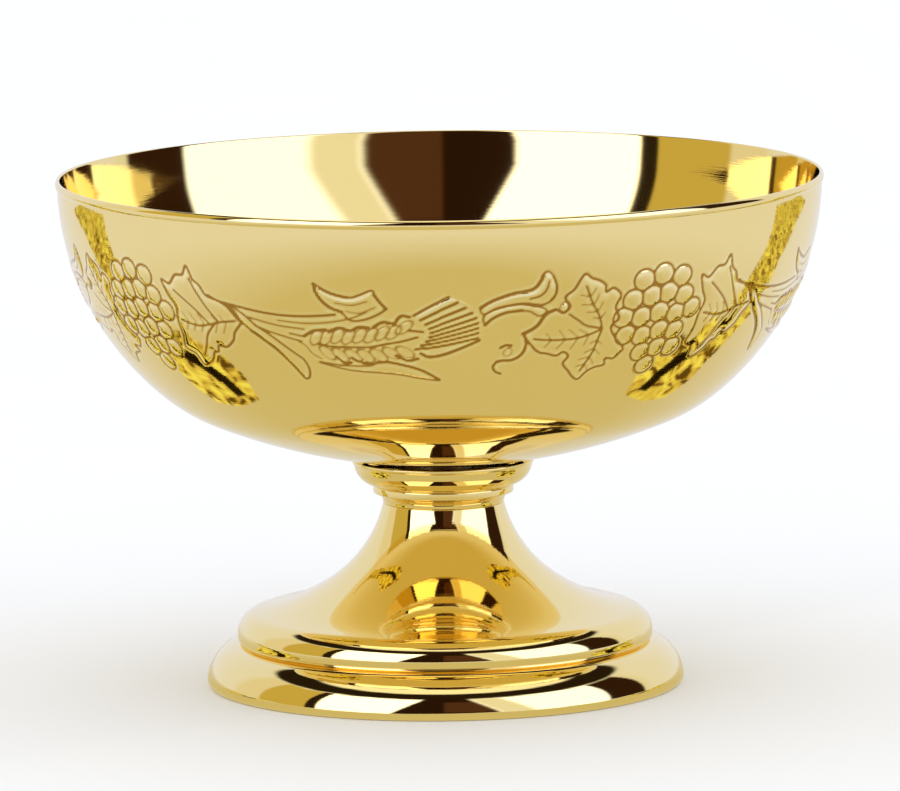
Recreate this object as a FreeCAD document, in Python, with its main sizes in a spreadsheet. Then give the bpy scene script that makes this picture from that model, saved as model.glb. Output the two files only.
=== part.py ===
import FreeCAD, Part
import math
import os

import Sketcher

# Footed communion bowl in gilt brass. Millimetres, +Z up, the origin at the centre of the face it stands on.
#
# From the floor up: the base ring, the concave foot, two turned collars, and a wide spun bowl with a bead
# round its lip. A stud soldered into a boss under the bowl runs down through the collars and the top of the foot,
# and a nut under the foot draws the stack together. Every piece is drawn from its own seating plane and then
# lifted to its place in the stack.

PARTS_FOLDER = "parts"

SIZES = {
    # bowl: the wall's outside, from the lip down, heights above the bottom of the bowl
    "bowl_wall": 1.0,
    "bowl_depth": 57.5,
    "lip_radius": 75.85,
    "lip_band": 1.8,
    "side_curve": 55.6,
    "haunch_radius": 55.34,
    "haunch_height": 14.44,
    "haunch_curve": 34.1,
    "knee_radius": 46.99,
    "knee_height": 9.45,
    "floor_curve": 121.55,
    "flare_height": 49.5,
    "flare_angle": 7.5,
    "lip_rounding": 0.25,
    # bead round the lip, a half-round wire
    "bead_height": 1.8,
    "bead_curve": 1.33,
    # boss under the bowl
    "boss_radius": 9.0,
    "boss_height": 2.3,
    # upper collar, a shallow cup with a thin lip
    "upper_height": 4.93,
    "upper_foot_radius": 14.0,
    "upper_curve": 4.6,
    "upper_shoulder_radius": 17.8,
    "upper_shoulder_height": 4.2,
    "upper_lip_radius": 18.1,
    "upper_lip_height": 0.53,
    "upper_floor": 2.13,
    "upper_recess_radius": 16.2,
    # lower collar, a ring that runs into the neck of the foot
    "lower_height": 3.67,
    "lower_radius": 14.0,
    "lower_edge": 0.2,
    "lower_waist_radius": 12.1,
    "lower_waist_height": 0.4,
    "lower_cove": 1.9,
    "lower_band_height": 2.1,
    # foot, heights above the top of the base ring
    "foot_wall": 1.0,
    "foot_height": 27.1,
    "neck_radius": 12.02,
    "neck_curve": 25.9,
    "waist_radius": 21.28,
    "waist_height": 12.78,
    "flare_curve": 37.3,
    "shoulder_radius": 37.65,
    "shoulder_height": 5.49,
    "shoulder_curve": 4.5,
    "skirt_radius": 41.36,
    "skirt_height": 1.06,
    "skirt_flange_radius": 38.3,
    "skirt_flange_wall": 0.8,
    # base ring, a spun ring with a flange turned in under it
    "ring_height": 9.3,
    "ring_wall": 1.0,
    "ring_neck_radius": 40.6,
    "ring_neck_height": 8.85,
    "ring_top_radius": 41.6,
    "ring_top_height": 8.6,
    "ring_top_curve": 8.0,
    "ring_side_radius": 47.5,
    "ring_side_height": 1.25,
    "ring_side_curve": 1.27,
    "ring_sole_radius": 46.5,
    "ring_opening_radius": 43.0,
    # fastening: M6 stud, large washer, split washer and nut
    "stud_radius": 3.0,
    "stud_top_gap": 0.1,
    "stud_end": 2.5,
    "stud_chamfer": 0.6,
    "thread_gap": 0.05,
    "bore_gap": 0.3,
    "washer_radius": 9.0,
    "washer_thickness": 1.6,
    "washer_edge": 0.3,
    "spring_radius": 5.9,
    "spring_thickness": 1.6,
    "spring_split": 1.0,
    "nut_flats": 10.0,
    "nut_height": 5.0,
    "nut_chamfer_angle": 30.0,
}


class Size:
    """A length in millimetres, or a plain ratio, with the sheet expression that drives it."""

    def __init__(self, value, text):
        self.value = float(value)
        self.text = text

    def __add__(self, other):
        other = as_size(other)
        return Size(self.value + other.value, f"({self.text} + {other.text})")

    def __sub__(self, other):
        other = as_size(other)
        return Size(self.value - other.value, f"({self.text} - {other.text})")

    def __mul__(self, other):
        other = as_size(other)
        return Size(self.value * other.value, f"({self.text} * {other.text})")

    def __truediv__(self, other):
        other = as_size(other)
        return Size(self.value / other.value, f"({self.text} / {other.text})")


def as_size(number):
    return number if isinstance(number, Size) else Size(number, repr(float(number)))


def root(size):
    return Size(math.sqrt(size.value), f"sqrt({size.text})")


def tangent_of(degrees):
    return Size(math.tan(math.radians(degrees.value)), f"tan({degrees.text} * 1 deg)")


def dim(name):
    return Size(SIZES[name], f"Dimensions.{name}")


doc = FreeCAD.newDocument("FootedBowl")
sheet = doc.addObject("Spreadsheet::Sheet", "Dimensions")
for row, (alias, number) in enumerate(SIZES.items(), start=1):
    sheet.set(f"A{row}", alias)
    sheet.set(f"B{row}", repr(number))
    sheet.setAlias(f"B{row}", alias)
doc.recompute()

ORIGIN_POINT = (-1, 1)
HORIZONTAL_AXIS = -1
VERTICAL_AXIS = -2
PARTS = []


# ---------------------------------------------------------------- sketches

def origin_plane(body, role):
    for feature in body.Origin.OriginFeatures:
        if feature.Role == role:
            return feature
    raise RuntimeError(f"{body.Label} has no {role}")


def sketch_on(body, name, role):
    sketch = body.newObject("Sketcher::SketchObject", name)
    sketch.AttachmentSupport = [(origin_plane(body, role), "")]
    sketch.MapMode = "FlatFace"
    return sketch


def bind(sketch, constraint, name, size):
    """Add a dimension to the sketch and tie it to the sheet."""
    index = sketch.addConstraint(constraint)
    sketch.renameConstraint(index, name)
    sketch.setExpression(f"Constraints.{name}", size.text)


def arc_between(start, end, bend):
    """The arc from start to end. A positive bend turns left, a negative one turns right."""
    radius = abs(bend)
    chord = end - start
    half = chord.Length / 2
    left = FreeCAD.Vector(-chord.y, chord.x, 0).normalize()
    reach = math.copysign(math.sqrt(radius**2 - half**2), bend)
    centre = (start + end) / 2 + left * reach
    first, last = (start, end) if bend > 0 else (end, start)
    begin = math.atan2(first.y - centre.y, first.x - centre.x)
    finish = math.atan2(last.y - centre.y, last.x - centre.x)
    circle = Part.Circle(centre, FreeCAD.Vector(0, 0, 1), radius)
    return Part.ArcOfCircle(circle, begin, finish)


def draw_outline(sketch, corners):
    """Close an outline through corners of (radius, height) or (radius, height, arc size, turn).

    The arc runs from its corner to the next one, and turn is +1 to the left or -1 to the right.
    """
    points = [FreeCAD.Vector(corner[0].value, corner[1].value, 0) for corner in corners]
    edges = []
    for index, corner in enumerate(corners):
        start = points[index]
        end = points[(index + 1) % len(points)]
        if len(corner) == 2:
            edge = sketch.addGeometry(Part.LineSegment(start, end))
            edges.append((edge, 1, 2))
            continue
        curve, turn = corner[2:]
        edge = sketch.addGeometry(arc_between(start, end, turn * curve.value))
        edges.append((edge, 1, 2) if turn > 0 else (edge, 2, 1))
    for index, (edge, _, finish) in enumerate(edges):
        following, begin, _ = edges[(index + 1) % len(edges)]
        sketch.addConstraint(Sketcher.Constraint("Coincident", edge, finish, following, begin))
    for index, corner in enumerate(corners):
        edge, begin, _ = edges[index]
        place_corner(sketch, edge, begin, corner[0], corner[1], index)
        if len(corner) > 2:
            curve = corner[2]
            bind(sketch, Sketcher.Constraint("Radius", edge, curve.value), f"curve_{index}", curve)


def place_corner(sketch, edge, end, radius, height, index):
    if radius.value == 0:
        sketch.addConstraint(Sketcher.Constraint("PointOnObject", edge, end, VERTICAL_AXIS))
    else:
        across = Sketcher.Constraint("DistanceX", *ORIGIN_POINT, edge, end, radius.value)
        bind(sketch, across, f"radius_{index}", radius)
    if height.value == 0:
        sketch.addConstraint(Sketcher.Constraint("PointOnObject", edge, end, HORIZONTAL_AXIS))
    else:
        upward = Sketcher.Constraint("DistanceY", *ORIGIN_POINT, edge, end, height.value)
        bind(sketch, upward, f"height_{index}", height)


def draw_circle(sketch, radius, name):
    """A circle about the axis."""
    circle = Part.Circle(FreeCAD.Vector(0, 0, 0), FreeCAD.Vector(0, 0, 1), radius.value)
    edge = sketch.addGeometry(circle)
    sketch.addConstraint(Sketcher.Constraint("Coincident", edge, 3, *ORIGIN_POINT))
    bind(sketch, Sketcher.Constraint("Radius", edge, radius.value), name, radius)


# ---------------------------------------------------------------- features

def new_body(label, seat):
    """An empty body whose seating plane stands at the height seat."""
    body = doc.addObject("PartDesign::Body", label)
    body.Label = label
    body.setExpression("Placement.Base.z", seat.text)
    PARTS.append(body)
    return body


def revolve(body, name, corners, feature_type="PartDesign::Revolution"):
    sketch = sketch_on(body, f"{name}_outline", "XZ_Plane")
    draw_outline(sketch, corners)
    feature = body.newObject(feature_type, name)
    feature.Profile = sketch
    feature.ReferenceAxis = (sketch, ["V_Axis"])
    feature.Angle = 360
    doc.recompute()
    return feature


def pad(body, name, sketch, height):
    feature = body.newObject("PartDesign::Pad", name)
    feature.Profile = sketch
    feature.setExpression("Length", height.text)
    doc.recompute()
    return feature


def bore_through(body, name, base, radius):
    """Cut a hole along the axis, upwards from the seating plane."""
    sketch = sketch_on(body, f"{name}_circle", "XY_Plane")
    draw_circle(sketch, radius, "bore_radius")
    feature = body.newObject("PartDesign::Pocket", name)
    feature.Profile = sketch
    feature.Type = "ThroughAll"
    feature.Reversed = True
    doc.recompute()
    expect_less(name, feature.Shape.Volume, base.Shape.Volume)
    return feature


def round_edge(body, name, base, edge, radius, feature_type="PartDesign::Fillet"):
    feature = body.newObject(feature_type, name)
    feature.Base = (base, [edge])
    size_name = "Radius" if feature_type == "PartDesign::Fillet" else "Size"
    feature.setExpression(size_name, radius.text)
    doc.recompute()
    expect_less(name, feature.Shape.Volume, base.Shape.Volume)


def expect_less(name, volume, before):
    if not 0 < volume < before - 1e-3:
        raise RuntimeError(f"{name} removed nothing: {before:.2f} to {volume:.2f} mm3")


def circle_edge_at(feature, radius, height):
    """Name of the full circular edge of a radius at a height above the seating plane."""
    for number, edge in enumerate(feature.Shape.Edges, start=1):
        box = edge.BoundBox
        level = abs(box.ZMin - height.value) < 1e-4 and abs(box.ZMax - height.value) < 1e-4
        if level and abs(box.XMax - radius.value) < 1e-3:
            return f"Edge{number}"
    raise RuntimeError(f"no circular edge of radius {radius.value} at {height.value}")


ZERO = as_size(0)


# ---------------------------------------------------------------- outlines of thin walls

def arc_centre(start, end, curve, turn):
    """Centre of the arc from start to end, as a (radius, height) pair."""
    across = end[0] - start[0]
    upward = end[1] - start[1]
    chord_squared = across * across + upward * upward
    reach = root(curve * curve / chord_squared - as_size(1) / 4) * turn
    return (start[0] + end[0]) / 2 - upward * reach, (start[1] + end[1]) / 2 + across * reach


def towards(point, centre, share):
    """The point moved by a share of its way to the centre; a point on the axis stays on it."""
    radius = ZERO if point[0].value == 0 else point[0] + (centre[0] - point[0]) * share
    return radius, point[1] + (centre[1] - point[1]) * share


def inner_side(chain, wall):
    """The way back along a chain of tangent arcs, one wall to its left.

    The chain holds (radius, height, arc size, turn) corners and ends with a plain (radius, height).
    """
    corners = []
    arcs = []
    for start, end in zip(chain, chain[1:]):
        curve, turn = start[2:]
        centre = arc_centre(start, end, curve, turn)
        share = wall / curve * turn
        corners.append(towards(start, centre, share))
        arcs.append((curve - wall * turn, -turn))
    corners.append(towards(end, centre, share))
    way_back = [(*corner, *arc) for corner, arc in zip(corners[:0:-1], arcs[::-1])]
    return way_back + [corners[0]]


# ---------------------------------------------------------------- the stack, from the floor up

FOOT_SEAT = dim("ring_height")
FOOT_TOP = FOOT_SEAT + dim("foot_height")
UPPER_SEAT = FOOT_TOP + dim("lower_height")
BOSS_SEAT = UPPER_SEAT + dim("upper_floor")
BOWL_SEAT = BOSS_SEAT + dim("boss_height")
BEAD_SEAT = BOWL_SEAT + dim("bowl_depth") - dim("bead_height")
WASHER_SEAT = FOOT_TOP - dim("foot_wall") - dim("washer_thickness")
SPRING_SEAT = WASHER_SEAT - dim("spring_thickness")
NUT_SEAT = SPRING_SEAT - dim("nut_height")
STUD_SEAT = NUT_SEAT - dim("stud_end")

THREAD_RADIUS = dim("stud_radius") + dim("thread_gap")
BORE_RADIUS = dim("stud_radius") + dim("bore_gap")


def bowl():
    """Spun shell: a nearly upright side, a rounded haunch and a flat floor, opened out a little inside its lip."""
    body = new_body("bowl", BOWL_SEAT)
    outside = [
        (ZERO, ZERO, dim("floor_curve"), 1),
        (dim("knee_radius"), dim("knee_height"), dim("haunch_curve"), 1),
        (dim("haunch_radius"), dim("haunch_height"), dim("side_curve"), 1),
        (dim("lip_radius"), dim("bowl_depth") - dim("lip_band")),
    ]
    side_centre = arc_centre(outside[2], outside[3], *outside[2][2:])
    _, *inside = inner_side(outside, dim("bowl_wall"))
    inner_curve = dim("side_curve") - dim("bowl_wall")
    drop = side_centre[1] - dim("flare_height")
    flare_radius = side_centre[0] + root(inner_curve * inner_curve - drop * drop)
    inner_lip_radius = flare_radius + (dim("bowl_depth") - dim("flare_height")) * tangent_of(dim("flare_angle"))
    lip = [
        (dim("lip_radius"), dim("bowl_depth")),
        (inner_lip_radius, dim("bowl_depth")),
        (flare_radius, dim("flare_height"), inner_curve, -1),
    ]
    shell = revolve(body, "bowl_shell", outside + lip + inside)
    inner_edge = circle_edge_at(shell, inner_lip_radius, dim("bowl_depth"))
    round_edge(body, "lip_round", shell, inner_edge, dim("lip_rounding"))


def rim_wire():
    """Half-round wire soldered round the outside of the lip."""
    body = new_body("rim_wire", BEAD_SEAT)
    revolve(body, "bead", [
        (dim("lip_radius"), ZERO, dim("bead_curve"), 1),
        (dim("lip_radius"), dim("bead_height")),
    ])


def bowl_underside(radius):
    """Height of the bowl's underside above its lowest point, at a distance from the axis."""
    curve = dim("floor_curve")
    return curve - root(curve * curve - radius * radius)


def bowl_boss():
    """Disc soldered under the bowl, its top dished to the bowl's floor, threaded for the stud."""
    body = new_body("bowl_boss", BOSS_SEAT)
    revolve(body, "boss_disc", [
        (THREAD_RADIUS, ZERO),
        (dim("boss_radius"), ZERO),
        (dim("boss_radius"), dim("boss_height") + bowl_underside(dim("boss_radius")), dim("floor_curve"), -1),
        (THREAD_RADIUS, dim("boss_height") + bowl_underside(THREAD_RADIUS)),
    ])


def upper_collar():
    """Turned cup: quarter-round outside, a thin lip just clear of the bowl, and a recess for the boss."""
    body = new_body("upper_collar", UPPER_SEAT)
    lip_bottom = dim("upper_height") - dim("upper_lip_height")
    revolve(body, "upper_turning", [
        (BORE_RADIUS, ZERO),
        (dim("upper_foot_radius"), ZERO, dim("upper_curve"), 1),
        (dim("upper_shoulder_radius"), dim("upper_shoulder_height")),
        (dim("upper_lip_radius"), lip_bottom),
        (dim("upper_lip_radius"), dim("upper_height")),
        (dim("upper_recess_radius"), dim("upper_height")),
        (dim("upper_recess_radius"), dim("upper_floor")),
        (BORE_RADIUS, dim("upper_floor")),
    ])


def lower_collar():
    """Turned ring: an upright band above a cove that runs down to the neck of the foot."""
    body = new_body("lower_collar", FOOT_TOP)
    revolve(body, "lower_turning", [
        (BORE_RADIUS, ZERO),
        (dim("neck_radius"), ZERO),
        (dim("lower_waist_radius"), dim("lower_waist_height"), dim("lower_cove"), -1),
        (dim("lower_radius"), dim("lower_band_height")),
        (dim("lower_radius"), dim("lower_height") - dim("lower_edge")),
        (dim("lower_radius") - dim("lower_edge"), dim("lower_height")),
        (BORE_RADIUS, dim("lower_height")),
    ])


def foot_cone():
    """Spun foot: a hollow concave cone with a closed top, a round shoulder and a flange under its skirt."""
    body = new_body("foot_cone", FOOT_SEAT)
    outside = [
        (dim("skirt_radius"), dim("skirt_height"), dim("shoulder_curve"), 1),
        (dim("shoulder_radius"), dim("shoulder_height"), dim("flare_curve"), -1),
        (dim("waist_radius"), dim("waist_height"), dim("neck_curve"), -1),
        (dim("neck_radius"), dim("foot_height")),
    ]
    inside = inner_side(outside, dim("foot_wall"))
    top = [
        (ZERO, dim("foot_height")),
        (ZERO, dim("foot_height") - dim("foot_wall")),
        (inside[0][0], dim("foot_height") - dim("foot_wall")),
    ]
    flange = [
        (inside[-1][0], dim("skirt_flange_wall")),
        (dim("skirt_flange_radius"), dim("skirt_flange_wall")),
        (dim("skirt_flange_radius"), ZERO),
        (dim("skirt_radius"), ZERO),
    ]
    shell = revolve(body, "foot_shell", outside + top + inside + flange)
    bore_through(body, "stud_hole", shell, BORE_RADIUS)


def foot_base_ring():
    """Spun lower tier: a short neck under the skirt, a rounded side and a flat sole turned in beneath."""
    body = new_body("foot_base_ring", ZERO)
    outside = [
        (dim("ring_sole_radius"), ZERO, dim("ring_side_curve"), 1),
        (dim("ring_side_radius"), dim("ring_side_height"), dim("ring_top_curve"), 1),
        (dim("ring_top_radius"), dim("ring_top_height")),
    ]
    top = [
        (dim("ring_neck_radius"), dim("ring_neck_height")),
        (dim("ring_neck_radius"), dim("ring_height")),
        (dim("ring_neck_radius") - dim("ring_wall"), dim("ring_height")),
    ]
    inside = inner_side(outside, dim("ring_wall"))
    sole = [
        (dim("ring_opening_radius"), inside[-1][1]),
        (dim("ring_opening_radius"), ZERO),
    ]
    neck_inside = (dim("ring_neck_radius") - dim("ring_wall"), inside[0][1])
    revolve(body, "ring_section", outside + top + [neck_inside] + inside + sole)


def tie_stud():
    """Threaded stud, drawn at its outside diameter, with both ends chamfered."""
    body = new_body("tie_stud", STUD_SEAT)
    length = BOWL_SEAT - dim("stud_top_gap") - STUD_SEAT
    narrow = dim("stud_radius") - dim("stud_chamfer")
    revolve(body, "stud_rod", [
        (ZERO, ZERO),
        (narrow, ZERO),
        (dim("stud_radius"), dim("stud_chamfer")),
        (dim("stud_radius"), length - dim("stud_chamfer")),
        (narrow, length),
        (ZERO, length),
    ])


def clamp_washer():
    """Large plain washer that spreads the nut's load under the top of the foot."""
    body = new_body("clamp_washer", WASHER_SEAT)
    sketch = sketch_on(body, "washer_outline", "XY_Plane")
    draw_circle(sketch, dim("washer_radius"), "washer_outside")
    draw_circle(sketch, BORE_RADIUS, "washer_inside")
    disc = pad(body, "washer_disc", sketch, dim("washer_thickness"))
    lower_edge = circle_edge_at(disc, dim("washer_radius"), ZERO)
    round_edge(body, "washer_chamfer", disc, lower_edge, dim("washer_edge"), "PartDesign::Chamfer")


def spring_washer():
    """Split lock washer, squeezed flat, with its gap on the +X side."""
    outside = doc.addObject("Part::Cylinder", "spring_outside")
    outside.setExpression("Radius", dim("spring_radius").text)
    outside.setExpression("Height", dim("spring_thickness").text)
    inside = doc.addObject("Part::Cylinder", "spring_inside")
    inside.setExpression("Radius", BORE_RADIUS.text)
    inside.setExpression("Height", dim("spring_thickness").text)
    ring = doc.addObject("Part::Cut", "spring_ring")
    ring.Base = outside
    ring.Tool = inside
    split = doc.addObject("Part::Box", "spring_gap")
    split.setExpression("Length", (dim("spring_radius") * 2).text)
    split.setExpression("Width", dim("spring_split").text)
    split.setExpression("Height", dim("spring_thickness").text)
    split.setExpression("Placement.Base.y", (ZERO - dim("spring_split") / 2).text)
    washer = doc.addObject("Part::Cut", "spring_washer")
    washer.Label = "spring_washer"
    washer.Base = ring
    washer.Tool = split
    washer.setExpression("Placement.Base.z", SPRING_SEAT.text)
    doc.recompute()
    expect_less("spring_gap", washer.Shape.Volume, ring.Shape.Volume)
    PARTS.append(washer)


def hex_nut():
    """Hexagon nut with its corners turned off below, where it is seen."""
    body = new_body("hex_nut", NUT_SEAT)
    sketch = sketch_on(body, "nut_outline", "XY_Plane")
    corner_radius = dim("nut_flats") / root(as_size(3))
    draw_hexagon(sketch, corner_radius)
    blank = pad(body, "nut_blank", sketch, dim("nut_height"))
    bored = bore_through(body, "nut_thread", blank, THREAD_RADIUS)
    flats_radius = dim("nut_flats") / 2
    clear_radius = dim("nut_flats")
    rise = (clear_radius - flats_radius) * tangent_of(dim("nut_chamfer_angle"))
    turned = revolve(body, "nut_corners", [
        (flats_radius, ZERO),
        (clear_radius, ZERO),
        (clear_radius, rise),
    ], "PartDesign::Groove")
    expect_less("nut_corners", turned.Shape.Volume, bored.Shape.Volume)


def draw_hexagon(sketch, corner_radius):
    """A regular hexagon about the axis, its first corner on the X axis."""
    corners = []
    for step in range(6):
        angle = math.radians(60 * step)
        corners.append(FreeCAD.Vector(math.cos(angle), math.sin(angle), 0) * corner_radius.value)
    for step in range(6):
        sketch.addGeometry(Part.LineSegment(corners[step], corners[(step + 1) % 6]))
    guide = sketch.addGeometry(
        Part.Circle(FreeCAD.Vector(0, 0, 0), FreeCAD.Vector(0, 0, 1), corner_radius.value), True
    )
    for step in range(6):
        following = (step + 1) % 6
        sketch.addConstraint(Sketcher.Constraint("Coincident", step, 2, following, 1))
        sketch.addConstraint(Sketcher.Constraint("PointOnObject", step, 1, guide))
        if following:
            sketch.addConstraint(Sketcher.Constraint("Equal", step, following))
    sketch.addConstraint(Sketcher.Constraint("Coincident", guide, 3, *ORIGIN_POINT))
    sketch.addConstraint(Sketcher.Constraint("PointOnObject", 0, 1, HORIZONTAL_AXIS))
    bind(sketch, Sketcher.Constraint("Radius", guide, corner_radius.value), "corner_radius", corner_radius)


# ---------------------------------------------------------------- build, check and write

for make in (bowl, rim_wire, bowl_boss, upper_collar, lower_collar, foot_cone, foot_base_ring,
             tie_stud, clamp_washer, spring_washer, hex_nut):
    make()
doc.recompute()

for item in doc.Objects:
    if "Invalid" in item.State or "Error" in item.State:
        raise RuntimeError(f"{item.Label} failed: {item.State}")
for part in PARTS:
    shape = part.Shape
    if shape.isNull() or not shape.isValid() or len(shape.Solids) != 1:
        raise RuntimeError(f"{part.Label} has no single valid solid")

os.makedirs(PARTS_FOLDER, exist_ok=True)
for part in PARTS:
    part.Shape.exportStep(os.path.join(PARTS_FOLDER, f"{part.Label}.step"))
    box = part.Shape.optimalBoundingBox(False)
    print(f"{part.Label:16s} volume {part.Shape.Volume:10.1f}  z {box.ZMin:7.2f} to {box.ZMax:7.2f}"
          f"  radius {box.XMax:6.2f}")
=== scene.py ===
"""Looks for the footed communion bowl: mirror-polished gilt pieces turned from smooth outlines, a band of vine,
grapes and wheat in low relief on the bowl, a threaded stud with the CAD's own fasteners, and a white light tent.

Outlines and ornament are written in millimetres and degrees; meshes are made in metres."""

import math

import bpy
import numpy as np
from mathutils import Matrix, Vector


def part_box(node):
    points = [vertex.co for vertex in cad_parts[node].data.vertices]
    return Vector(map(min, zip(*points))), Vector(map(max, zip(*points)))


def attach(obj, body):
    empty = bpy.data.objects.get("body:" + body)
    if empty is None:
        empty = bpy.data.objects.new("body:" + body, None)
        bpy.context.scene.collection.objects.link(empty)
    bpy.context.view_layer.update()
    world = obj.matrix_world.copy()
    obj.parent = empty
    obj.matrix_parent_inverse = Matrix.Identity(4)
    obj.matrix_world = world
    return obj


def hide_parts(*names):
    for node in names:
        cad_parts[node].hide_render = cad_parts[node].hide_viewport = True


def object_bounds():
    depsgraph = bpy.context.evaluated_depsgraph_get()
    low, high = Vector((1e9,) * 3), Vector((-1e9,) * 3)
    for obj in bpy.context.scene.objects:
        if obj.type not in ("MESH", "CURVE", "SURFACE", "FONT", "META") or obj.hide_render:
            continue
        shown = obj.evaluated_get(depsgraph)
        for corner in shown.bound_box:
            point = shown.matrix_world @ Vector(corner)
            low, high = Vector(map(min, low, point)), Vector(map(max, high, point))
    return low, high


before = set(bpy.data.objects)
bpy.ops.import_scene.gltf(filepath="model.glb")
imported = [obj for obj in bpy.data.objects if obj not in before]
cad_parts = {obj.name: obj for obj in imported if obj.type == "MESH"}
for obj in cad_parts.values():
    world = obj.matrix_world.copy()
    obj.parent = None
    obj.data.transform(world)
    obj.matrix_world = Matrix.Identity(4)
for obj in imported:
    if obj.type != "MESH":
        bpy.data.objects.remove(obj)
CAD_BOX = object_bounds()
MM = 0.001
FLOOR = CAD_BOX[0][2] / MM


def bottom_of(node):
    """Height of a CAD node's lowest point, in millimetres."""
    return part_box(node)[0].z / MM


def top_of(node):
    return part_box(node)[1].z / MM


# -------- outlines

SAMPLE = 0.04                      # spacing of the first trace along an outline
LARGEST_STEP = 1.6                 # longest straight run kept on a turned piece
LARGEST_TURN = math.radians(3.5)


def arc_centre(start, end, curve):
    """Centre of the arc between two points. A positive curve turns left, a negative one turns right."""
    chord = end - start
    length = np.linalg.norm(chord)
    left = np.array([-chord[1], chord[0]]) / length
    return (start + end) / 2 + left * math.copysign(math.sqrt(curve**2 - length**2 / 4), curve)


def run_points(start, end, curve):
    """Points from start towards end, on an arc of that radius or straight where the curve is 0."""
    start, end = np.array(start[:2], float), np.array(end[:2], float)
    length = np.linalg.norm(end - start)
    if curve == 0:
        count = max(2, int(length / SAMPLE))
        return start + (end - start) * np.linspace(0, 1, count, endpoint=False)[:, None]
    centre = arc_centre(start, end, curve)
    begin = math.atan2(*(start - centre)[::-1])
    sweep = math.copysign(2 * math.asin(length / 2 / abs(curve)), curve)
    count = max(2, int(abs(curve * sweep) / SAMPLE))
    angles = begin + sweep * np.linspace(0, 1, count, endpoint=False)
    return centre + abs(curve) * np.stack([np.cos(angles), np.sin(angles)], 1)


def traced(corners, closed):
    """An even, fine trace through corners of (radius, height) or (radius, height, curve to the next corner)."""
    following = corners[1:] + corners[:1] if closed else corners[1:]
    runs = [run_points(a, b, a[2] if len(a) > 2 else 0) for a, b in zip(corners, following)]
    last = corners[0] if closed else corners[-1]
    line = np.vstack(runs + [np.array([last[:2]], float)])
    along = np.concatenate([[0], np.cumsum(np.linalg.norm(np.diff(line, axis=0), axis=1))])
    stations = np.linspace(0, along[-1], int(along[-1] / SAMPLE), endpoint=not closed)
    return np.stack([np.interp(stations, along, line[:, k]) for k in (0, 1)], 1)


def bell_weights(spread, step):
    """Half the width and the weights of a bell-shaped moving mean that reaches out to four spreads."""
    half = int(4 * spread / step)
    weights = np.exp(-0.5 * (np.arange(-half, half + 1) * step / spread) ** 2)
    return half, weights / weights.sum()


def softened(trace, closed, softness):
    """Rounds every corner of the trace over about the softness, in millimetres."""
    half, weights = bell_weights(softness, SAMPLE)
    if closed:
        padded = np.vstack([trace[-half:], trace, trace[:half]])
    else:
        # the ends lie on the axis, so the trace is mirrored there
        mirror = np.array([-1.0, 1.0])
        padded = np.vstack([trace[half:0:-1] * mirror, trace, trace[-2:-half - 2:-1] * mirror])
    smooth = np.stack([np.convolve(padded[:, k], weights, "valid") for k in (0, 1)], 1)
    if not closed:
        smooth[0, 0] = smooth[-1, 0] = 0.0
    return smooth


def outward_normals(trace, closed):
    """Unit normals on the right of the direction of travel: outlines run anticlockwise round the metal."""
    if closed:
        along = np.roll(trace, -1, axis=0) - np.roll(trace, 1, axis=0)
    else:
        along = np.gradient(trace, axis=0)
    along /= np.linalg.norm(along, axis=1)[:, None]
    return np.stack([along[:, 1], -along[:, 0]], 1)


def outline_of(corners, softness, closed=True):
    """Points and normals of the softened outline, close together where it turns."""
    trace = softened(traced(corners, closed), closed, softness)
    normals = outward_normals(trace, closed)
    kept = [0]
    for index in range(1, len(trace)):
        step = np.linalg.norm(trace[index] - trace[kept[-1]])
        turn = math.acos(min(1.0, float(normals[index] @ normals[kept[-1]])))
        if step > LARGEST_STEP or turn > LARGEST_TURN and step > 2 * SAMPLE:
            kept.append(index)
    if not closed and kept[-1] != len(trace) - 1:
        kept.append(len(trace) - 1)
    return trace[kept], normals[kept]


# -------- meshes

def mesh_object(name, points, faces, material, normals=None):
    """An object from points in millimetres, smooth where a normal is given at each point."""
    mesh = bpy.data.meshes.new(name)
    mesh.from_pydata((np.asarray(points) * MM).tolist(), [], faces)
    if normals is not None:
        mesh.polygons.foreach_set("use_smooth", [True] * len(mesh.polygons))
        mesh.normals_split_custom_set_from_vertices(np.asarray(normals, float).tolist())
    mesh.materials.append(material)
    piece = bpy.data.objects.new(name, mesh)
    bpy.context.scene.collection.objects.link(piece)
    return piece


class RingMesh:
    """Collects points with their normals and finish (painted shade where positive, painted highlight where
    negative), and the faces between level rings of points.
    """

    def __init__(self):
        self.points, self.normals, self.finish, self.faces = [], [], [], []

    # finish is the painted shade in a chased line where positive, and the painted highlight beside it where
    # negative
    def add(self, point, normal, finish=0.0):
        self.points.append(point)
        self.normals.append(normal)
        self.finish.append(finish)
        return len(self.points) - 1

    def ring(self, radius, height, out, up, columns):
        """Indices of a ring of points, the first facing the front; on the axis it is a single point."""
        if radius < 1e-6:
            return [self.add((0, 0, height), (0, 0, 1 if up > 0 else -1))] * columns
        angles = np.arange(columns) * 2 * math.pi / columns
        return [self.add((radius * x, radius * y, height), (out * x, out * y, up))
                for x, y in zip(np.sin(angles), -np.cos(angles))]

    def join(self, lower, upper):
        """Faces between two rings; where one has more points, its cells are gathered into larger faces."""
        columns = min(len(lower), len(upper))
        below, above = len(lower) // columns, len(upper) // columns
        for k in range(columns):
            low = [lower[(k * below + j) % len(lower)] for j in range(below + 1)]
            high = [upper[(k * above + j) % len(upper)] for j in range(above + 1)]
            self.faces.append(tuple(dict.fromkeys(low + high[::-1])))

    def join_all(self, rings):
        for lower, upper in zip(rings, rings[1:]):
            self.join(lower, upper)


def turned(name, corners, material, softness, segments):
    """A piece turned about the axis from the closed outline of its metal."""
    mesh = RingMesh()
    rings = [mesh.ring(*place, *normal, segments) for place, normal in zip(*outline_of(corners, softness))]
    mesh.join_all(rings + rings[:1])
    return mesh_object(name, mesh.points, mesh.faces, material, mesh.normals)


# -------- ornament

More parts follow.
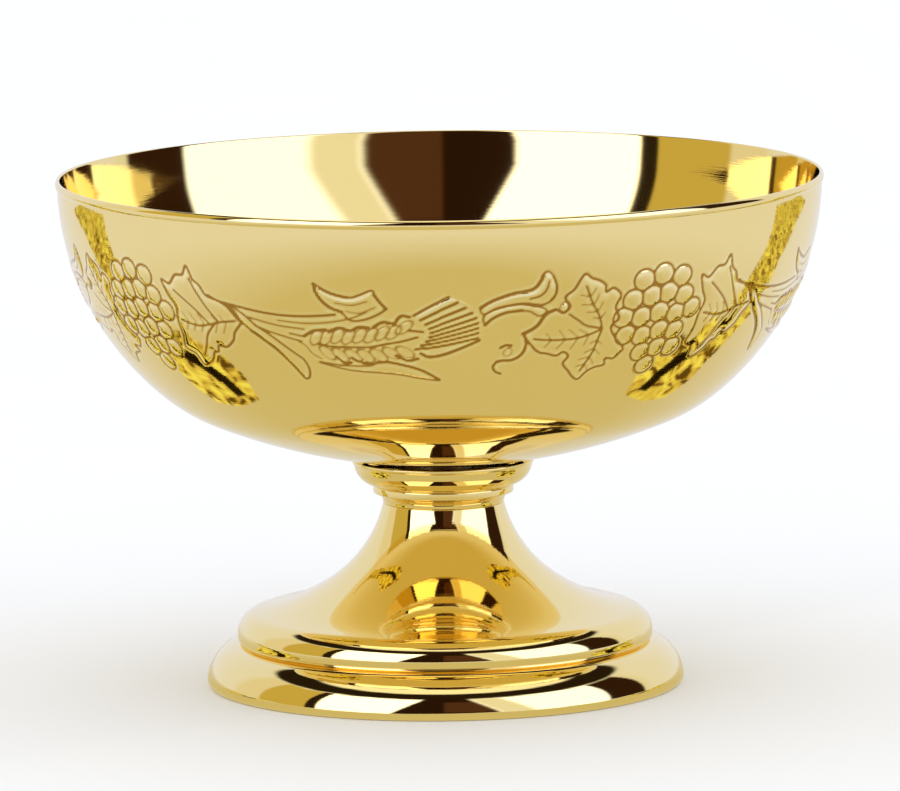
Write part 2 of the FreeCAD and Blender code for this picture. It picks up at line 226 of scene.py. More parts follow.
# The ornament is drawn in degrees round the bowl, 0 facing the front, and millimetres down the side from the
# lower edge of the bead. One period is a quarter of the way round and is repeated four times.
PERIOD_DEGREES = 90.0
PERIOD_START = -47.5                                 # degrees at the left end of the drawn period
BAND_TOP = 7.0
BAND_DEPTH = 28.0
BAND_RADIUS = 70.0                                   # radius at which a degree is measured in millimetres
MM_PER_DEGREE = math.radians(1) * BAND_RADIUS
CELL = 0.1                                           # grid of the height map, in millimetres

# depth and half-width of the kinds of chased line
BROAD = (0.26, 0.38)
BOLD = (0.26, 0.36)
FIRM = (0.24, 0.34)
STEADY = (0.22, 0.34)
PLAIN = (0.20, 0.30)
VEIN = (0.19, 0.27)
THIN = (0.17, 0.27)
LIGHT = (0.17, 0.26)
SIDE_VEIN = (0.13, 0.22)

# height and width of the rounded shoulder of the kinds of raised pad
LEAF_PAD = (0.22, 1.1)
CURL_PAD = (0.24, 0.9)
STALK_PAD = (0.20, 0.7)
FLAT_PAD = (0.20, 0.6)

PAD_LINE = (0.20, 0.30)                              # the line round a raised pad
DROP_LINE = (0.12, 0.22)                             # and round a grain, a bud or the like
GRAPE_LINE = (0.20, 0.27)
GRAPE_RADIUS = 2.2
GRAPE_HEIGHT = 0.28
GRAPE_SHOULDER = 0.9
GRAIN_HEIGHT = 0.26
CUT_SCALE = 0.62                                     # how deep a line is cut for each millimetre drawn
SHOULDER_SCALE = 0.45                                # metal pushed up on both sides of a line
FULL_SHADE_CUT = 0.17                                      # a line drawn this deep gets its full painted shade
FULL_HIGHLIGHT_CREST = 0.045                                   # smoothed depth beside a line that gets the full painted highlight


def on_band(points):
    """Points given as (degrees, millimetres down the side) in the map's own millimetres."""
    points = np.array(points, float)
    return np.stack([(points[:, 0] - PERIOD_START) * MM_PER_DEGREE, points[:, 1] - BAND_TOP], 1)


def smooth_curve(points, closed=False, per_span=10):
    """Catmull-Rom curve through the points."""
    count = len(points)
    steps = np.linspace(0, 1, per_span, endpoint=False)[:, None]
    curve = []
    for index in range(count if closed else count - 1):
        if closed:
            p0, p1, p2, p3 = (points[(index + k) % count] for k in (-1, 0, 1, 2))
        else:
            p1, p2 = points[index], points[index + 1]
            p0 = points[index - 1] if index else 2 * p1 - p2
            p3 = points[index + 2] if index + 2 < count else 2 * p2 - p1
        curve.append(0.5 * (2 * p1 + (p2 - p0) * steps + (2 * p0 - 5 * p1 + 4 * p2 - p3) * steps**2
                            + (3 * p1 - p0 - 3 * p2 + p3) * steps**3))
    if not closed:
        curve.append(points[-1:])
    return np.vstack(curve)


def distance_to(curve, x, y, closed=False):
    """Distance of each grid point from a curve made of short straight runs."""
    nearest = np.full(x.shape, 1e9)
    ends = np.roll(curve, -1, axis=0) if closed else curve[1:]
    for (ax, ay), (bx, by) in zip(curve, ends):
        dx, dy = bx - ax, by - ay
        share = np.clip(((x - ax) * dx + (y - ay) * dy) / (dx * dx + dy * dy + 1e-12), 0, 1)
        nearest = np.minimum(nearest, (x - ax - share * dx) ** 2 + (y - ay - share * dy) ** 2)
    return np.sqrt(nearest)


def inside(curve, x, y):
    """Which grid points lie within a closed curve."""
    within = np.zeros(x.shape, bool)
    for (ax, ay), (bx, by) in zip(curve, np.roll(curve, -1, axis=0)):
        crosses = (ay > y) != (by > y)
        slope = (bx - ax) / (by - ay) if by != ay else 0
        within ^= crosses & (x < ax + (y - ay) * slope)
    return within


class HeightMap:
    """Raised and cut heights over one period of the band, on a grid that wraps round sideways."""

    def __init__(self):
        self.columns = int(round(PERIOD_DEGREES * MM_PER_DEGREE / CELL))
        self.rows = int(round(BAND_DEPTH / CELL))
        self.raised = np.zeros((self.rows, self.columns))
        self.cut = np.zeros((self.rows, self.columns))

    def window(self, points, margin):
        """Grid indices near the points, and the grid's coordinates there."""
        low, high = points.min(0) - margin, points.max(0) + margin
        columns = np.arange(int(low[0] / CELL) - 1, int(high[0] / CELL) + 2)
        rows = np.arange(max(0, int(low[1] / CELL)), min(self.rows, int(high[1] / CELL) + 2))
        x, y = np.meshgrid(columns * CELL, rows * CELL)
        return np.ix_(rows, columns % self.columns), x, y

    def raise_to(self, place, height):
        self.raised[place] = np.maximum(self.raised[place], height)

    def cut_to(self, place, distance, depth, width):
        """A groove with a bell-shaped section, by each grid point's distance from its middle."""
        self.cut[place] = np.maximum(self.cut[place], depth * np.exp(-(distance / width) ** 2))

    def line(self, points, depth, width, sharp=False):
        """A chased line through the points."""
        points = on_band(points)
        curve = points if sharp else smooth_curve(points)
        place, x, y = self.window(curve, 4 * width)
        self.cut_to(place, distance_to(curve, x, y), depth, width)

    def pad(self, points, height, shoulder, outline=PAD_LINE[0], sharp=False):
        """A flat-topped pad with rounded shoulders and a chased outline."""
        points = on_band(points)
        curve = points if sharp else smooth_curve(points, closed=True)
        place, x, y = self.window(curve, 4 * PAD_LINE[1])
        distance = distance_to(curve, x, y, closed=True)
        depth_in = np.where(inside(curve, x, y), distance, 0)
        self.raise_to(place, height * (1 - np.exp(-(depth_in / shoulder) ** 2)))
        self.cut_to(place, distance, outline, PAD_LINE[1])

    def drop(self, centre, half_sizes, lean, height):
        """A domed oval, leaning clockwise by an angle, with a groove round it."""
        centre = on_band([centre])
        place, x, y = self.window(centre, max(half_sizes) + 1.5)
        x, y = x - centre[0, 0], y - centre[0, 1]
        turn = math.radians(lean)
        across = (x * math.cos(turn) + y * math.sin(turn)) / half_sizes[0]
        upward = (-x * math.sin(turn) + y * math.cos(turn)) / half_sizes[1]
        rim = np.sqrt(across**2 + upward**2)
        self.raise_to(place, height * np.clip(1 - rim**2, 0, 1) ** 0.8)
        self.cut_to(place, (rim - 1.0) * min(half_sizes), *DROP_LINE)


def grape_cluster(band):
    """A hanging cluster, wide at the top, of grapes pressed together so that each is a rounded cell."""
    centres = on_band([
        (32.0, 11.9), (35.4, 11.0), (39.0, 11.8),
        (30.5, 15.9), (33.8, 15.4), (36.9, 15.0), (40.1, 15.9),
        (29.3, 19.6), (32.6, 19.8), (35.8, 19.1), (39.2, 19.7), (42.2, 18.9),
        (30.4, 23.6), (33.5, 24.1), (36.7, 23.2), (39.9, 23.6),
        (34.3, 28.0), (37.4, 27.2), (40.4, 27.5),
        (36.2, 31.4),
    ])
    place, x, y = band.window(centres, GRAPE_RADIUS + 1.5)
    distances = np.sort([np.hypot(x - cx, y - cy) for cx, cy in centres], axis=0)
    to_edge = np.minimum((distances[1] - distances[0]) / 2, GRAPE_RADIUS - distances[0])
    band.raise_to(place, GRAPE_HEIGHT * (1 - np.exp(-(np.maximum(to_edge, 0) / GRAPE_SHOULDER) ** 2)))
    band.cut_to(place, to_edge, *GRAPE_LINE)


LEAF_HUB = (25.8, 21.6)                              # where the veins of the large leaf meet


def vine_leaf_left_of_grapes(band):
    """The large three-lobed leaf whose veins meet beside the cluster."""
    outline = [
        (13.0, 21.8), (14.6, 20.5), (15.9, 18.2), (17.6, 16.9), (19.0, 17.6), (19.9, 16.2), (19.0, 14.3),
        (20.3, 12.8), (21.3, 10.6), (22.0, 9.7), (23.0, 10.6), (24.4, 11.3), (25.4, 12.3), (25.6, 13.7),
        (26.8, 13.0), (28.2, 14.6), (27.6, 17.0), (28.4, 19.5), (27.4, 21.4), (28.6, 24.0), (30.6, 26.6),
        (30.2, 27.8), (29.3, 29.0), (27.8, 28.8), (27.9, 30.4), (26.4, 30.8), (25.0, 31.8), (23.8, 33.7),
        (22.6, 32.9), (21.6, 31.4), (20.3, 29.4), (20.9, 27.6), (19.9, 26.5), (18.8, 27.3), (17.2, 26.7),
        (15.7, 26.2), (14.4, 24.6),
    ]
    band.pad(outline, *LEAF_PAD)
    midrib = [(14.6, 23.0), (17.5, 23.4), (21.0, 23.4), (23.4, 22.8), LEAF_HUB]
    down_vein = [LEAF_HUB, (25.4, 24.0), (25.0, 26.8), (24.2, 29.4), (23.6, 31.4)]
    up_vein = [LEAF_HUB, (24.9, 18.6), (23.4, 15.6), (22.2, 12.2)]
    cross_vein = [(25.6, 21.4), (23.0, 20.6), (21.4, 19.2), (19.9, 17.9)]
    for vein in (midrib, down_vein, up_vein, cross_vein):
        band.line(vein, *VEIN)
    for share, length in ((0.25, 1.6), (0.42, 2.2), (0.6, 2.4), (0.78, 2.0)):
        side_veins(band, midrib, share, length)
        side_veins(band, down_vein, share, 0.8 * length)
        side_veins(band, up_vein, share, 0.8 * length)


def side_veins(band, vein, share, length):
    """A pair of short veins that leave a main vein part of the way along it and lean towards its tip."""
    points = np.array(vein, float)
    place = share * (len(points) - 1)
    index = min(int(place), len(points) - 2)
    start = points[index] + (points[index + 1] - points[index]) * (place - index)
    along = (points[index + 1] - points[index]) * np.array([MM_PER_DEGREE, 1.0])
    along /= np.linalg.norm(along)
    # a main vein is drawn towards the hub or away from it; the side veins always lean away
    lean = -1.0 if vein[-1] == LEAF_HUB else 1.0
    for side in (-1, 1):
        heading = along * 0.75 * lean + side * np.array([-along[1], along[0]])
        end = start + heading * length / np.array([MM_PER_DEGREE, 1.0])
        band.line([start, end], *SIDE_VEIN, sharp=True)


def vine_leaf_right_of_grapes(band):
    """The leaf that hangs between the cluster and the wheat stalks."""
    outline = [
        (-32.8, 20.0), (-34.4, 22.3), (-35.2, 24.2), (-37.0, 25.9), (-38.6, 25.8), (-39.2, 27.2), (-40.2, 27.6),
        (-41.4, 29.6), (-43.8, 31.0), (-44.6, 28.4), (-46.4, 27.0), (-45.8, 24.0), (-45.7, 20.6), (-45.2, 17.8),
        (-46.2, 15.4), (-47.0, 12.2), (-45.4, 12.8), (-43.8, 10.9), (-42.2, 10.6), (-41.2, 8.8), (-40.3, 11.4),
        (-39.2, 12.6), (-38.2, 14.6), (-36.0, 15.6), (-34.4, 17.0), (-33.6, 18.6),
    ]
    band.pad(outline, *LEAF_PAD)
    midrib = [(-33.6, 19.6), (-36.6, 20.1), (-38.8, 20.8), (-41.4, 21.3), (-44.8, 20.4)]
    for vein in (
        midrib,
        [(-36.8, 20.1), (-38.4, 17.4), (-39.8, 14.4), (-41.0, 11.4)],
        [(-38.8, 20.8), (-40.6, 18.2), (-42.6, 16.0), (-44.6, 14.0)],
        [(-37.8, 20.6), (-39.8, 23.0), (-41.0, 25.6), (-42.6, 28.6)],
    ):
        band.line(vein, *VEIN)
    for degree in (-35.6, -37.2, -40.0, -41.6, -43.2):
        band.line([(degree, 20.6), (degree - 0.9, 22.6)], *SIDE_VEIN, sharp=True)
        band.line([(degree, 20.4), (degree - 0.8, 18.6)], *SIDE_VEIN, sharp=True)


def wheat_stalks(band):
    """Stalks that fan in to the ear, and the long cut stalk that hangs down."""
    band.pad([
        (-34.8, 16.2), (-33.4, 17.6), (-32.6, 19.6), (-31.0, 21.7), (-29.4, 23.4), (-27.7, 25.3), (-26.4, 27.2),
        (-25.2, 29.4), (-24.2, 31.6), (-23.6, 32.7), (-22.8, 31.9), (-22.5, 29.9), (-23.0, 27.8), (-24.2, 26.4),
        (-26.0, 24.4), (-28.0, 22.2), (-30.0, 20.4), (-31.6, 18.4), (-33.2, 16.9),
    ], *STALK_PAD, outline=0.18)
    band.line([(-34.9, 16.2), (-33.8, 18.0), (-32.6, 20.1)], *STEADY)
    band.line([(-31.2, 21.6), (-29.4, 23.4), (-27.7, 25.3), (-26.4, 27.2), (-25.2, 29.4), (-23.8, 32.5)], *STEADY)
    band.line([(-37.8, 14.5), (-36.2, 15.5), (-33.9, 16.1), (-30.2, 17.0), (-26.7, 17.6), (-23.2, 17.8),
               (-19.5, 17.6), (-16.4, 17.2)], *PLAIN)
    band.line([(-31.0, 18.6), (-28.5, 19.4), (-25.7, 20.1), (-21.8, 20.6)], 0.16, 0.26)
    band.line([(-26.0, 18.9), (-21.6, 19.3), (-17.5, 18.9), (-14.0, 17.9), (-11.4, 16.4)], 0.15, 0.25)
    band.line([(-30.2, 20.4), (-27.7, 21.6), (-25.0, 22.6), (-22.6, 23.4)], *THIN)
    band.line([(-24.4, 21.7), (-22.0, 22.2), (-20.8, 21.2)], *THIN)
    band.line([(-23.2, 23.4), (-22.0, 24.5), (-21.2, 26.2), (-19.8, 27.4)], 0.14, 0.26)


def curled_leaf(band):
    """The long leaf above the ear, whose tip turns back on itself."""
    band.pad([
        (-19.3, 10.9), (-18.0, 11.8), (-16.8, 12.7), (-15.2, 13.4), (-13.6, 13.5), (-12.2, 12.9), (-10.4, 12.0),
        (-9.9, 13.2), (-9.2, 14.6), (-8.5, 15.8), (-10.0, 17.2), (-12.0, 18.2), (-14.0, 18.4), (-15.3, 16.8),
        (-16.9, 15.8), (-18.2, 14.4), (-19.0, 12.7),
    ], *CURL_PAD, outline=0.17)
    band.line([(-19.3, 10.9), (-19.0, 12.7), (-18.2, 14.4), (-16.9, 15.8), (-15.3, 16.6)], *BOLD)
    band.line([(-18.4, 11.7), (-16.8, 12.7), (-15.2, 13.3), (-14.2, 13.5)], *FIRM)
    band.line([(-10.1, 12.9), (-9.2, 14.6), (-8.4, 15.8)], *FIRM)
    band.line([(-16.2, 14.6), (-13.6, 15.0), (-11.2, 14.2)], 0.14, 0.24)
    band.line([(-14.6, 16.4), (-12.4, 16.6), (-10.0, 15.4)], 0.13, 0.24)


def wheat_ear(band):
    """Grains in two rows that lean forwards on either side of the middle line, and the husks round them."""
    for degree, down, lean in (
        (-20.0, 22.4, 34), (-18.3, 22.3, 36), (-16.5, 22.0, 38), (-14.7, 22.1, 38), (-12.9, 21.8, 40),
        (-11.1, 21.7, 40), (-9.3, 21.1, 42), (-7.5, 20.9, 44), (-5.8, 19.8, 50),
    ):
        band.drop((degree, down), (0.95, 2.0), lean, GRAIN_HEIGHT)
    for degree, down, lean in (
        (-18.6, 25.9, -42), (-16.5, 26.3, -44), (-14.4, 26.4, -46), (-12.3, 26.4, -48), (-10.2, 26.2, -50),
        (-8.1, 25.7, -54), (-5.9, 25.4, -58),
    ):
        band.drop((degree, down), (1.0, 2.0), lean, GRAIN_HEIGHT)
    band.line([(-20.0, 23.8), (-17.5, 24.4), (-14.0, 24.4), (-11.3, 24.3), (-8.9, 23.6), (-6.4, 23.0),
               (-3.8, 22.0)], 0.18, 0.3)
    for start, peak, end in (
        ((-22.0, 22.2), (-20.2, 20.9), (-18.2, 20.6)), ((-17.8, 21.0), (-16.0, 20.1), (-14.4, 20.7)),
        ((-14.0, 20.6), (-12.8, 19.8), (-11.3, 20.0)), ((-10.6, 19.8), (-9.1, 18.7), (-7.8, 18.9)),
        ((-7.4, 19.3), (-6.3, 17.4), (-4.9, 17.5)), ((-17.2, 26.7), (-16.0, 28.3), (-14.9, 28.1)),
        ((-14.6, 26.8), (-13.2, 28.0), (-11.5, 28.4)), ((-7.4, 26.2), (-5.6, 27.5), (-3.9, 27.0)),
    ):
        band.line([start, peak, end], *FIRM)
    band.line([(-5.2, 20.5), (-2.9, 20.8)], *PLAIN)


def awns(band):
    """Stiff bristles that fan out of the tip of the ear."""
    band.pad([
        (-4.4, 17.2), (1.3, 13.2), (3.4, 13.9), (5.2, 15.4), (6.1, 17.4), (6.2, 20.4), (6.1, 23.0), (2.8, 25.0),
        (-0.8, 26.6), (-3.6, 25.8), (-3.0, 21.5),
    ], *FLAT_PAD, outline=0, sharp=True)
    count = 9
    for index in range(count):
        share = index / (count - 1)
        start = (-4.2 + 2.4 * math.sin(math.pi * share), 17.2 + 7.6 * share)
        end = (1.2 + 4.5 * math.sin(0.5 * math.pi * min(1, 1.5 * share)), 13.4 + 8.9 * share)
        middle = ((start[0] + end[0]) / 2, (start[1] + end[1]) / 2 - 0.15 + 0.35 * share)
        band.line([start, middle, end], 0.24, 0.30)
    band.line([(-3.4, 25.8), (-2.1, 26.6), (0.3, 26.1), (2.8, 24.8), (5.9, 22.9)], *BROAD)


def blade_leaf(band):
    """The long blade that runs under the ear to a sharp tip."""
    band.pad([
        (-20.4, 28.2), (-16.5, 29.7), (-13.4, 30.3), (-9.9, 30.6), (-6.8, 31.1), (-3.6, 32.0), (-0.4, 32.5),
        (-2.9, 30.4), (-4.6, 29.4), (-6.6, 28.6), (-8.7, 28.0), (-10.6, 28.1), (-12.0, 28.8), (-16.0, 28.9),
    ], *STALK_PAD, outline=0.16)
    band.line([(-10.6, 28.0), (-8.7, 27.9), (-6.6, 28.5), (-4.6, 29.3), (-2.9, 30.3), (-0.5, 32.4)], *FIRM)


def vine_and_tendril(band):
    """The ribbon of vine between the awns and the leaf, and the tendril that curls below it."""
    band.pad([
        (6.0, 15.9), (7.5, 14.6), (9.0, 13.8), (11.0, 13.0), (13.0, 12.6), (14.2, 12.1), (15.0, 10.6), (15.4, 9.2),
        (16.1, 8.8), (16.9, 9.8), (17.5, 11.8), (17.4, 13.6), (16.8, 14.8), (15.4, 15.6), (13.4, 15.2),
        (11.6, 15.2), (8.6, 15.9), (6.6, 17.2),
    ], *CURL_PAD, outline=0.16)
    band.pad([
        (6.6, 17.4), (8.6, 16.1), (11.6, 15.4), (14.4, 15.8), (16.2, 16.8), (15.2, 18.0), (13.6, 16.9),
        (12.2, 16.7), (10.5, 16.9), (9.1, 17.4), (7.7, 18.4), (6.7, 19.6),
    ], *FLAT_PAD, outline=0.16)
    band.line([(6.0, 15.8), (7.5, 14.6), (9.0, 13.8), (11.0, 13.0), (13.0, 12.6), (14.2, 12.0),
               (15.0, 10.6), (15.3, 9.6)], *BOLD)
    band.line([(16.9, 9.8), (17.5, 11.8), (17.4, 13.6), (16.8, 14.6)], *PLAIN)
    band.line([(6.7, 19.5), (7.7, 18.3), (9.1, 17.3), (10.5, 16.8), (12.4, 16.6)], *FIRM)
    band.line([(7.0, 17.0), (8.6, 15.9), (11.6, 15.3), (14.6, 16.0)], *LIGHT)
    band.line([(16.3, 10.6), (15.9, 12.4), (15.0, 13.6), (13.4, 14.2)], *LIGHT)
    band.line([(17.7, 16.8), (16.4, 17.4), (15.8, 18.3), (15.0, 20.0), (14.0, 21.0), (12.8, 21.8)], *BROAD)
    band.drop((18.9, 16.3), (0.75, 0.95), 0, 0.3)
    band.drop((10.6, 25.9), (0.8, 0.95), 30, 0.3)
    band.line([(13.0, 21.9), (13.5, 24.0), (13.2, 25.9), (12.4, 27.2), (11.2, 27.9), (10.0, 27.9),
               (9.0, 28.1)], *FIRM)
    band.line([(9.4, 24.8), (10.2, 24.3), (11.1, 24.4)], *STEADY)
    band.line([(8.9, 28.2), (8.4, 29.4), (8.9, 30.6), (9.8, 31.2)], 0.2, 0.32)


def blurred(grid, spread):
    """The grid smoothed over a distance in millimetres; it wraps round sideways and fades at top and bottom."""
    half, weights = bell_weights(spread, CELL)
    sideways = sum(w * np.roll(grid, k - half, axis=1) for k, w in enumerate(weights))
    padded = np.pad(sideways, ((half, half), (0, 0)))
    return sum(w * padded[k:k + grid.shape[0]] for k, w in enumerate(weights))


def ornament():
    """Height of the ornament above the plain side over one period, and its painted shade and highlight: 1 for
    painted shade in a line, -1 for a painted highlight on a crest.
    """
    band = HeightMap()
    for draw in (vine_leaf_right_of_grapes, wheat_stalks, curled_leaf, blade_leaf, wheat_ear, awns,
                 vine_and_tendril, vine_leaf_left_of_grapes, grape_cluster):
        draw(band)
    lines, near, beside = (blurred(band.cut, spread) for spread in (0.09, 0.18, 0.42))
    heights = blurred(band.raised - CUT_SCALE * band.cut, 0.13) + SHOULDER_SCALE * beside
    # the second map paints shade into the lines and a highlight onto the crests beside them
    return heights, lines / FULL_SHADE_CUT - (beside - near).clip(0) / FULL_HIGHLIGHT_CREST


def sampled(grid, degrees, down):
    """Values of the grid at places on the band, by straight-line interpolation."""
    rows, columns = grid.shape
    x = ((degrees - PERIOD_START) * MM_PER_DEGREE / CELL) % columns
    y = np.clip((down - BAND_TOP) / CELL, 0, rows - 1.001)
    x0, y0 = x.astype(int) % columns, y.astype(int)
    fx, fy = x - np.floor(x), y - y0
    x1 = (x0 + 1) % columns
    upper = grid[y0, x0] * (1 - fx) + grid[y0, x1] * fx
    lower = grid[y0 + 1, x0] * (1 - fx) + grid[y0 + 1, x1] * fx
    return upper * (1 - fy) + lower * fy


# -------- bowl

WALL = 1.0
BEAD_DEPTH = 1.8
SIDE_CURVE = 55.6
HAUNCH = (55.34, 14.44)        # radius, and height above the bowl's lowest point
HAUNCH_CURVE = 34.1
KNEE = (46.99, 9.45)
FLOOR_CURVE = 121.55
WALL_AT_LIP = 75.85
INNER_LIP = 75.333
FLARE_START = (74.28, 94.0)    # radius and height where the inside begins to open out to the lip
BOWL_SOFTNESS = 0.16

BOWL_COLUMNS = 300             # points in a ring of the bowl
INNER_COLUMNS = 150            # and where it is narrower or plain
AXIS_COLUMNS = 75              # and close to the axis
AXIS_RADIUS = 12
NARROW_RADIUS = 50
LIP_REACH = 9                  # how far below the lip the inside keeps its full rings
RING_GAP = 0.4                 # from the band to the nearest ring
BAND_COLUMNS = 600
BAND_ROWS = 42
FINE = 2                       # fine cells along each side of a coarse one, where there is ornament
LEAST_RELIEF = 0.012           # change of height in a coarse cell that makes it fine
LEAST_PAINTED_CHANGE = 0.12            # change of painted shade and highlight that does so
SLOPE_STEP = 0.08


def bowl_outside():
    """Corners of the bowl's outside from the axis up to the lower edge of the bead, heights from the CAD."""
    base = bottom_of("bowl")
    return [
        (0, base, FLOOR_CURVE),
        (KNEE[0], base + KNEE[1], HAUNCH_CURVE),
        (HAUNCH[0], base + HAUNCH[1], SIDE_CURVE),
        (WALL_AT_LIP, top_of("bowl") - BEAD_DEPTH),
    ]


def side_arc():
    """Centre of the side's arc and the angle at its top, from which the ornament is measured."""
    haunch, top = (np.array(corner[:2], float) for corner in bowl_outside()[2:])
    centre = arc_centre(haunch, top, SIDE_CURVE)
    return centre, math.asin((centre[1] - top[1]) / SIDE_CURVE)


def add_band(mesh):
    """Adds the band, coarse where it is plain and fine where it is worked, and returns its edge rings."""
    heights, finish = ornament()
    centre, top_angle = side_arc()
    fine_columns, fine_rows = BAND_COLUMNS * FINE, BAND_ROWS * FINE
    degrees, down = np.meshgrid(np.arange(fine_columns) * 360 / fine_columns,
                                BAND_TOP + BAND_DEPTH * np.arange(fine_rows + 1) / fine_rows)

    def relief(across=0.0, lower=0.0):
        return sampled(heights, degrees + across / MM_PER_DEGREE, down + lower)

    # depth is the painted shade in the lines and the painted highlight beside them
    height, depth = relief(), sampled(finish, degrees, down)
    angle, turn = top_angle + down / SIDE_CURVE, np.radians(degrees)
    cosine, sine = np.cos(angle)[..., None], np.sin(angle)[..., None]
    radius = centre[0] + SIDE_CURVE * cosine
    slope_across = (relief(SLOPE_STEP) - relief(-SLOPE_STEP))[..., None] / (2 * SLOPE_STEP * radius / BAND_RADIUS)
    slope_down = (relief(0, SLOPE_STEP) - relief(0, -SLOPE_STEP))[..., None] / (2 * SLOPE_STEP)
    level = np.zeros_like(turn)
    spoke = np.stack([np.sin(turn), -np.cos(turn), level], -1)
    across = np.stack([np.cos(turn), np.sin(turn), level], -1)
    up = np.array([0.0, 0.0, 1.0])
    out = spoke * cosine - up * sine
    points = spoke * radius + up * (centre[1] - SIDE_CURVE * sine) + out * height[..., None]
    normals = out - across * slope_across + (spoke * sine + up * cosine) * slope_down
    normals /= np.linalg.norm(normals, axis=-1)[..., None]

    def is_worked(row, column):
        """Whether the relief or its painted shade and highlight change inside a coarse cell."""
        rows = slice(row * FINE, row * FINE + FINE + 1)
        columns = np.arange(column * FINE, column * FINE + FINE + 1) % fine_columns
        return (np.ptp(height[rows][:, columns]) > LEAST_RELIEF
                or np.ptp(depth[rows][:, columns]) > LEAST_PAINTED_CHANGE)

    refined = np.array([[is_worked(row, column) for column in range(BAND_COLUMNS)] for row in range(BAND_ROWS)])
    refined[0] = refined[-1] = False
    index = {}

    def point_at(row, column):
        key = (row, column % fine_columns)
        if key not in index:
            index[key] = mesh.add(points[key], normals[key], float(depth[key]))
        return index[key]

    for row in range(BAND_ROWS):
        for column in range(BAND_COLUMNS):
            r0, c0 = row * FINE, column * FINE
            if refined[row, column]:
                for r in range(r0, r0 + FINE):
                    for c in range(c0, c0 + FINE):
                        mesh.faces.append((point_at(r + 1, c), point_at(r + 1, c + 1),
                                           point_at(r, c + 1), point_at(r, c)))
                continue
            # a coarse cell takes in the fine points of any refined neighbour along their shared edge
            loop = []
            for shared, r, c, down_by, right_by in (
                (row + 1 < BAND_ROWS and refined[row + 1, column], r0 + FINE, c0, 0, 1),
                (refined[row, (column + 1) % BAND_COLUMNS], r0 + FINE, c0 + FINE, -1, 0),
                (row > 0 and refined[row - 1, column], r0, c0 + FINE, 0, -1),
                (refined[row, column - 1], r0, c0, 1, 0),
            ):
                loop += [point_at(r + j * down_by, c + j * right_by) for j in range(FINE if shared else 1)]
            mesh.faces.append(tuple(loop))
    return [[point_at(row, column * FINE) for column in range(BAND_COLUMNS)] for row in (fine_rows, 0)]


def make_bowl(material):
    """The spun shell: outside below and above the ornament, the lip, and the plain inside."""
    outside = bowl_outside()
    knee, haunch = (np.array(corner[:2], float) for corner in outside[1:3])
    floor_centre = np.array([0.0, outside[0][1] + FLOOR_CURVE])
    haunch_centre = knee + (floor_centre - knee) * HAUNCH_CURVE / FLOOR_CURVE
    inner_knee = knee + (floor_centre - knee) * WALL / FLOOR_CURVE
    inner_haunch = haunch + (haunch_centre - haunch) * WALL / HAUNCH_CURVE
    trace, normals = outline_of(outside + [
        (WALL_AT_LIP, top_of("bowl")),
        (INNER_LIP, top_of("bowl")),
        (*FLARE_START, WALL - SIDE_CURVE),
        (*inner_haunch, WALL - HAUNCH_CURVE),
        (*inner_knee, WALL - FLOOR_CURVE),
        (0, outside[0][1] + WALL),
    ], BOWL_SOFTNESS, closed=False)
    centre, top_angle = side_arc()
    along = np.cumsum(np.linalg.norm(np.diff(trace, axis=0, prepend=trace[:1]), axis=1))
    down_side = (np.arctan2(centre[1] - trace[:, 1], trace[:, 0] - centre[0]) - top_angle) * SIDE_CURVE
    lip = along[np.argmax(trace[:, 1])]
    below = [i for i, (_, height) in enumerate(trace)
             if along[i] < lip and (height < haunch[1] or down_side[i] > BAND_TOP + BAND_DEPTH + RING_GAP)]
    above = [i for i in range(below[-1] + 1, len(trace)) if along[i] > lip or down_side[i] < BAND_TOP - RING_GAP]

    def rings(places):
        for i in places:
            radius = trace[i, 0]
            full = radius >= NARROW_RADIUS if along[i] < lip else along[i] < lip + LIP_REACH
            columns = BOWL_COLUMNS if full else INNER_COLUMNS if radius > AXIS_RADIUS else AXIS_COLUMNS
            yield mesh.ring(*trace[i], *normals[i], columns)

    mesh = RingMesh()
    bottom, top = add_band(mesh)
    mesh.join_all([*rings(below), bottom])
    mesh.join_all([top, *rings(above)])
    piece = mesh_object("bowl_shell", mesh.points, mesh.faces, material, mesh.normals)
    # the painted shade in the lines and the painted highlight beside them, read by the bowl's material
    attribute = piece.data.attributes.new("painted_shade_and_highlight", "FLOAT", "POINT")
    attribute.data.foreach_set("value", np.clip(mesh.finish, -1, 1).astype(np.float32))
    return piece


# -------- turned pieces and the stud

def make_rim_wire(material):
    """Half-round bead round the outside of the lip."""
    low, high, inset = bottom_of("rim_wire"), top_of("rim_wire"), 0.05
    return turned("rim_bead", [
        (WALL_AT_LIP - inset, low + inset), (WALL_AT_LIP, low, 1.33), (WALL_AT_LIP, high),
        (WALL_AT_LIP - inset, high - inset),
    ], material, softness=0.06, segments=360)


def make_upper_collar(material):
    low = bottom_of("upper_collar")
    return turned("collar_cup", [
        (3.3, low), (14.0, low, 4.6), (17.8, low + 4.2), (18.1, low + 4.4), (18.1, low + 4.93),
        (16.2, low + 4.93), (16.2, low + 2.13), (3.3, low + 2.13),
    ], material, softness=0.09, segments=240)


def make_lower_collar(material):
    low = bottom_of("lower_collar")
    return turned("collar_ring", [
        (3.3, low), (12.02, low), (12.1, low + 0.4, -1.9), (14.0, low + 2.1), (14.0, low + 3.47),
        (13.8, low + 3.67), (3.3, low + 3.67),
    ], material, softness=0.09, segments=240)


def make_foot(material):
    low = bottom_of("foot_cone")
    return turned("foot_shell", [
        (38.3, low), (41.36, low), (41.36, low + 1.06, 4.5), (37.65, low + 5.49, -37.3),
        (21.28, low + 12.78, -25.9), (12.02, low + 27.1), (3.3, low + 27.1), (3.3, low + 26.1),
        (11.06, low + 26.1, 26.9), (20.67, low + 11.99, 38.3), (37.47, low + 4.51, -3.5),
        (40.36, low + 1.06), (40.36, low + 0.8), (38.3, low + 0.8),
    ], material, softness=0.12, segments=300)


